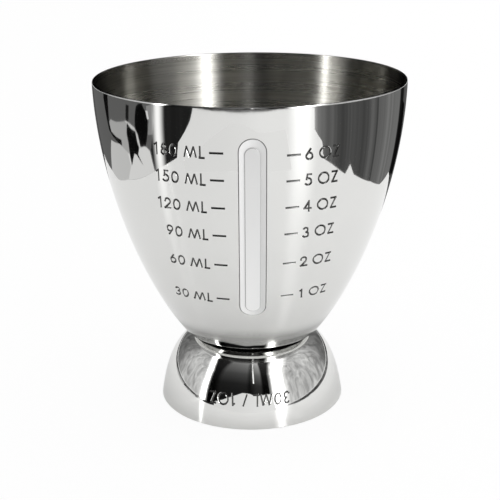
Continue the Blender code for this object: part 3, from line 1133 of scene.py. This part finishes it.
def studio_world():
    """White behind the object, soft light on it, and pale folded cloth for the steel to mirror."""
    world = bpy.data.worlds.new("studio")
    bpy.context.scene.world = world
    finish = Finish(world)
    direction = finish.coordinates("Generated")
    hung = finish.stretched(direction, FOLD_STRETCH)
    folds = finish.noise(hung, scale=4.0, detail=4.0, roughness=0.55, distortion=1.6)
    pale = finish.ramp(folds, 0.0, 1.0, FOLD_LEVELS)
    axes = finish.axes(direction)
    top = finish.ramp(axes["Z"], 0.0, 1.0, TENT_TOP)
    below = finish.ramp(axes["Z"], -1.0, 1.0, TENT_BELOW)
    behind = finish.ramp(axes["Y"], -1.0, 1.0, TENT_BEHIND)
    cloth = finish.times(finish.times(pale, top), behind)
    mirrored = finish.maths("MAXIMUM", cloth, below)
    glossy = finish.node("LightPath").outputs["Is Glossy Ray"]
    sky = finish.node("Mix", {"Factor": glossy, "A": WHITE, "B": mirrored}, data_type="RGBA")
    background = finish.tree.nodes["Background"]
    finish.feed(background, {"Color": sky.outputs["Result"], "Strength": 1.0})


def set_card(name, body, material):
    """Puts a card in the studio: steel mirrors it, the camera sees past it."""
    card = piece_from(name, body, material)
    card.visible_camera = False
    card.visible_shadow = False
    card.visible_diffuse = False
    card.visible_transmission = False


def card_between(name, first, second, material, closed=False):
    """A card stretched between two edges with as many points each.

    Its "across" value runs from 0 at the first edge to 1 at the second.
    """
    body = bmesh.new()
    across = body.verts.layers.float.new("across")
    low = chain(body, first, closed)
    high = chain(body, second, closed)
    for edge in high:
        for vert in edge.verts:
            vert[across] = 1.0
    bmesh.ops.bridge_loops(body, edges=low + high)
    set_card(name, body, material)


def in_sky(azimuth, elevation, distance):
    """A place in the studio by its direction from the object."""
    turn = math.radians(azimuth)
    rise = math.radians(elevation)
    flat = distance * math.cos(rise)
    return Vector((flat * math.sin(turn), -flat * math.cos(turn), distance * math.sin(rise)))


def sky_edge(points, distance):
    return [in_sky(azimuth, elevation, distance) for azimuth, elevation in points]


def on_floor(points, lift):
    """Places on the floor, given in rim radii from the object's axis."""
    return [Vector((x * RIM_RADIUS, y * RIM_RADIUS, lift)) for x, y in points]


def floor():
    body = bmesh.new()
    bmesh.ops.create_grid(body, x_segments=1, y_segments=1, size=FLOOR_SIZE)
    bmesh.ops.translate(body, verts=body.verts, vec=-CARD_LIFT * AXIS)
    piece_from("floor", body, white_floor())


def table():
    """The dark table, with a hole where the paper lies."""
    outer = [Vector(point).normalized() * TABLE_REACH for point in PAPER_OUTLINE]
    edges = on_floor(PAPER_OUTLINE, CARD_LIFT), on_floor(outer, CARD_LIFT)
    card_between("table", *edges, table_finish(), closed=True)


def floor_cards():
    """Flat cards on the table, each one a little higher than the last."""
    for order, (name, level, outline) in enumerate(FLOOR_CARDS, start=2):
        body = bmesh.new()
        edges = chain(body, on_floor(outline, order * CARD_LIFT), closed=True)
        bmesh.ops.contextual_create(body, geom=edges)
        set_card(name, body, card_finish(name, level))


def floor_beams():
    """Wedges of lamp light on the floor, which start beside the foot and open outwards."""
    for name, middle, half_width, level in FLOOR_BEAMS:
        edges = []
        for azimuth in (middle - half_width, middle + half_width):
            turn = math.radians(azimuth)
            points = [(reach * math.sin(turn), -reach * math.cos(turn)) for reach in BEAM_ENDS]
            edges.append(on_floor(points, BEAM_LIFT))
        card_between(name, *edges, beam_finish(name, middle, half_width, level))


def softboxes():
    """A lamp on each side of the tent's opening, and its mirror image in the floor."""
    lamp = lamp_finish("softbox", SOFTBOX_LEVEL, SOFTBOX_EDGE)
    for name, inner, outer, lap in SOFTBOXES:
        for kind, upward in ((name, 1.0), (name + "_mirrored", -1.0)):
            near = [(azimuth + lap, elevation * upward) for azimuth, elevation in inner]
            far = [(azimuth - lap * SOFTBOX_FAR_LAP, elevation * upward) for azimuth, elevation in outer]
            card_between(kind, sky_edge(near, SOFTBOX_DISTANCE), sky_edge(far, SOFTBOX_DISTANCE), lamp)


def thin_light():
    """A thin upright light, high in front of the jigger."""
    edges = []
    for azimuth in THIN_LIGHT_SIDES:
        points = [(azimuth, elevation) for elevation in THIN_LIGHT_ELEVATIONS]
        edges.append(sky_edge(points, THIN_LIGHT_DISTANCE))
    card_between("thin_light", *edges, lamp_finish("thin_light", THIN_LIGHT_LEVEL, THIN_LIGHT_EDGE))


def dark_flags():
    """Black cards behind the jigger, from just over its rim up, that darken the two sides of the inside."""
    for name, start, end in DARK_FLAGS:
        low = []
        for step in range(FLAG_STEPS + 1):
            azimuth = start + (end - start) * step / FLAG_STEPS
            low.append(in_sky(azimuth, 0.0, FLAG_DISTANCE) + FLAG_LOW * AXIS)
        high = [place + FLAG_HEIGHT * AXIS for place in low]
        card_between(name, low, high, card_finish(name, FLAG_LEVEL))


def low_card():
    """A white card that stands on the paper in front of the jigger."""
    low = []
    high = []
    for azimuth, height in LOW_CARD_TOP:
        place = in_sky(azimuth, 0.0, LOW_CARD_DISTANCE)
        low.append(place)
        high.append(place + height * AXIS)
    card_between("low_card", low, high, white_card_finish())


def studio():
    floor()
    table()
    floor_cards()
    floor_beams()
    opening = sky_edge(OPENING_LEFT, STUDIO_REACH), sky_edge(OPENING_RIGHT, STUDIO_REACH)
    card_between("tent_opening", *opening, opening_finish())
    softboxes()
    thin_light()
    dark_flags()
    low_card()
    studio_world()


def camera():
    sensor = bpy.data.cameras.new("camera")
    sensor.lens = CAMERA_LENS
    sensor.shift_x = CAMERA_SHIFT
    sensor.clip_start = CAMERA_NEAREST
    viewer = bpy.data.objects.new("camera", sensor)
    bpy.context.scene.collection.objects.link(viewer)
    turn = Matrix.Rotation(math.radians(CAMERA_AZIMUTH), 4, "Z")
    place = Matrix.Translation((0.0, -CAMERA_DISTANCE, CAMERA_HEIGHT))
    tip = Matrix.Rotation(math.radians(90.0 - CAMERA_PITCH), 4, "X")
    roll = Matrix.Rotation(math.radians(CAMERA_ROLL), 4, "Z")
    viewer.matrix_world = turn @ place @ tip @ roll
    bpy.context.scene.camera = viewer


# Putting the jigger together


def looks_into_cup(face):
    """True for faces that look towards the axis, and for those on top of the floor."""
    middle = face.calc_center_median()
    outward = Vector((middle.x, middle.y, 0.0))
    if outward.length < CUP_FLOOR_RADIUS + CUP_FLOOR_LAP:
        return face.normal.z > 0.0
    return face.normal.dot(outward) < -CUP_INWARD_SHARE * outward.length


def looks_into_foot(face):
    """True for faces that look towards the axis, and for those under the floor, but not on the rim."""
    middle = face.calc_center_median()
    outward = Vector((middle.x, middle.y, 0.0))
    if outward.length < FOOT_TOP_RADIUS:
        return face.normal.z < 0.0
    looks_in = face.normal.dot(outward) < -FOOT_INWARD_SHARE * outward.length
    return looks_in and middle.z > FOOT_RIM_BAND


def over_foot(face):
    """True for faces on the foot's top, round the seam, which take the painted shade."""
    return face.normal.z > SEAM_SLOPE_FOOT


def measuring_cup(polished, brushed, etched):
    """The bell-shaped cup, with the window's slot and the volume marks cut in its wall."""
    wall = outer_wall(cup_wall())
    body = turned(cup_section())
    finish_inside(body, looks_into_cup)
    piece = piece_from("measuring_cup_shell", body, polished, brushed)
    cutters = [window_slot_cutter(wall, polished)]
    cutters.extend(stroke_cutters("cup_marks", cup_strokes(wall), wall, etched, polished))
    cut(piece, cutters)
    true_normals(piece, [wall, inner_wall(cup_wall())])
    return piece


def foot_cup(polished, brushed, etched, dull_painted_shade):
    """The small cup that is the foot, with its own mark upside down."""
    wall = outer_wall(foot_wall())
    body = turned(foot_section())
    finish_inside(body, looks_into_foot, over_foot)
    piece = piece_from("foot_cup_shell", body, polished, brushed, dull_painted_shade)
    cut(piece, stroke_cutters("foot_marks", foot_strokes(), wall, etched, polished))
    true_normals(piece, [wall])
    return piece


def dress(piece, node):
    """The piece stands for a solid of the frame and takes its place."""
    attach(piece, ROOT)
    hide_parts(node)


def refinish(node, material):
    """A solid of the frame that shows as it is, with a better finish."""
    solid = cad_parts[node]
    solid.data.materials.clear()
    solid.data.materials.append(material)


def jigger():
    polished = polished_steel()
    brushed = brushed_steel()
    etched = etched_steel()
    dress(measuring_cup(polished, brushed, etched), "measuring_cup")
    dress(foot_cup(polished, brushed, etched, dull_painted_shade_steel()), "foot_cup")
    # Three copies of one plastic, each with its own painted light and shade
    pane = window_plastic("window_plastic", "Z", PANE_SPAN, PANE_PAINTED_LIGHT)
    border = window_plastic("window_border", "X", BORDER_SPAN, BORDER_PAINTED_LIGHT)
    edge = window_plastic("window_edge", "X", BORDER_SPAN, EDGE_PAINTED_SHADE)
    dress(sight_window(outer_wall(cup_wall()), pane, border, edge), "sight_window")
    refinish("window_seal", clear_silicone())
    weld = weld_steel()
    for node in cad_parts:
        if node.startswith("spot_weld"):
            refinish(node, weld)


jigger()
studio()
camera()
bpy.context.scene.view_settings.view_transform = "Standard"
